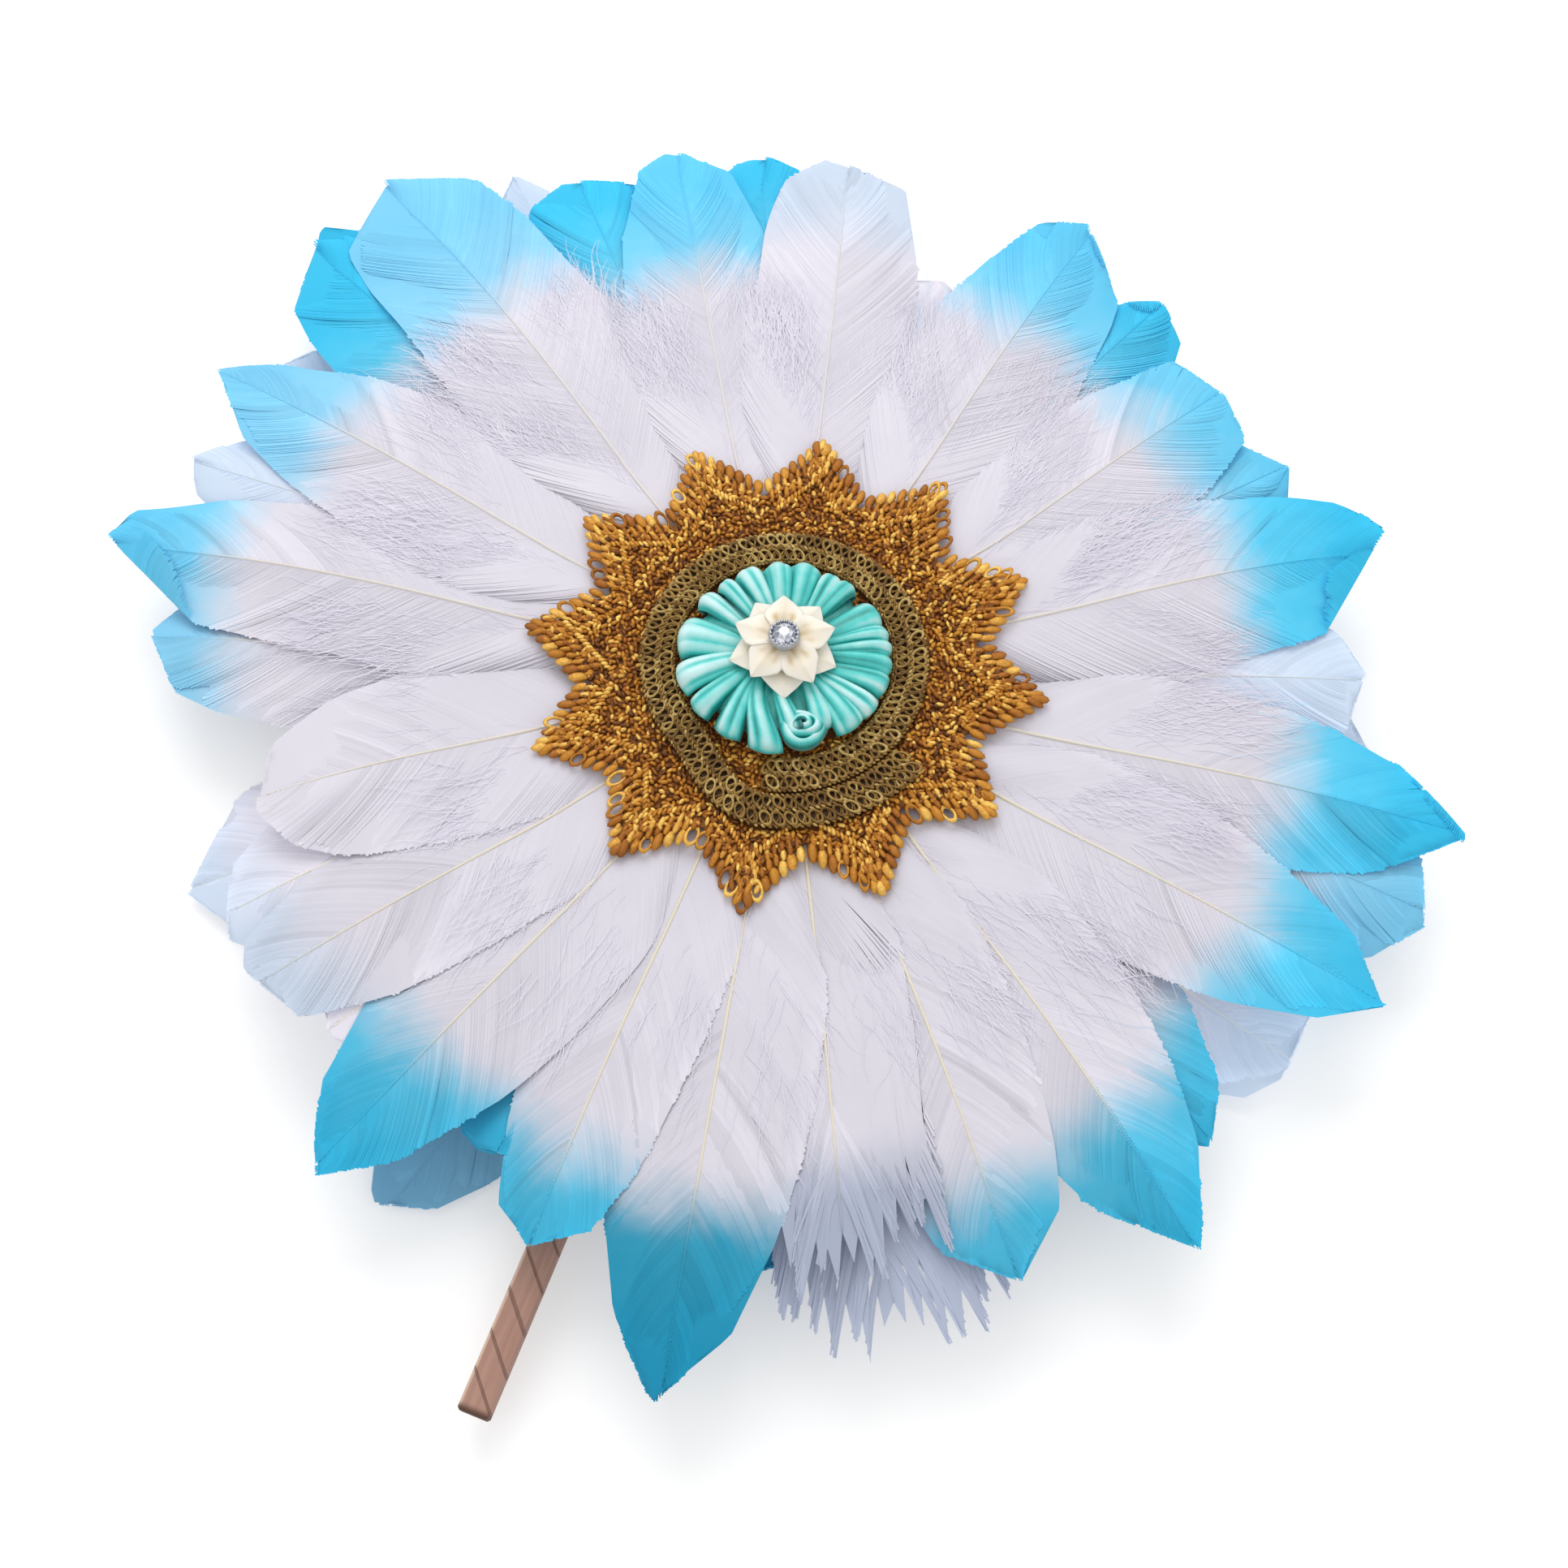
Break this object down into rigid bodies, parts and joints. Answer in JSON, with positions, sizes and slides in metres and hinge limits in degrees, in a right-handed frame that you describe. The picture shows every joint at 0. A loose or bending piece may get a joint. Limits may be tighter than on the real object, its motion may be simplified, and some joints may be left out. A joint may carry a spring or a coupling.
{
  "type": "feather hand fan",
  "caption": "Round rigid hand fan of overlapping dip-dyed feathers on card discs and a wooden stick, with a lace star, braid, ribbon rosette and rhinestone at its centre.",
  "frame": {"origin": "centre of the felt cover's flat back face", "axes": "+Z out of the decorated front, -Y along the handle towards its free end, +X to the right when the front is seen with the handle down"},
  "size_m": [0.3725, 0.3674, 0.042],
  "materials": {
    "feather": "soft matte",
    "card": "matte",
    "felt": "matte",
    "wood": "bare",
    "gold_lace": "metallic thread",
    "bronze_braid": "metallic thread",
    "turquoise_satin": "satin",
    "cream_satin": "satin",
    "setting": "polished",
    "crystal": "faceted"
  },
  "bodies": {
    "root": {"back_cover": "felt", "back_card": "card", "handle_stick": "wood", "front_card": "card", "lace_star": "gold_lace", "braid_ring": "bronze_braid", "rosette_backing": "felt", "rosette_ruffle": "turquoise_satin", "flower_lower_petals": "cream_satin", "flower_upper_petals": "cream_satin", "stone_cup": "setting", "rhinestone": "crystal", "back_feather_01": "feather", "back_feather_02": "feather", "back_feather_03": "feather", "back_feather_04": "feather", "back_feather_05": "feather", "back_feather_06": "feather", "back_feather_07": "feather", "back_feather_08": "feather", "back_feather_09": "feather", "back_feather_10": "feather", "back_feather_11": "feather", "back_feather_12": "feather", "back_feather_13": "feather", "lower_feather_01": "feather", "lower_feather_02": "feather", "lower_feather_03": "feather", "lower_feather_04": "feather", "lower_feather_05": "feather", "lower_feather_06": "feather", "lower_feather_07": "feather", "lower_feather_08": "feather", "lower_feather_09": "feather", "lower_feather_10": "feather", "lower_feather_11": "feather", "lower_feather_12": "feather", "lower_feather_13": "feather", "lower_feather_14": "feather", "lower_feather_15": "feather", "lower_feather_16": "feather", "upper_feather_01": "feather", "upper_feather_02": "feather", "upper_feather_03": "feather", "upper_feather_04": "feather", "upper_feather_05": "feather", "upper_feather_06": "feather", "upper_feather_07": "feather", "upper_feather_08": "feather", "upper_feather_09": "feather", "upper_feather_10": "feather", "upper_feather_11": "feather", "upper_feather_12": "feather", "upper_feather_13": "feather", "upper_feather_14": "feather", "upper_feather_15": "feather", "upper_feather_16": "feather", "upper_feather_17": "feather", "upper_feather_18": "feather"}
  },
  "joints": []
}
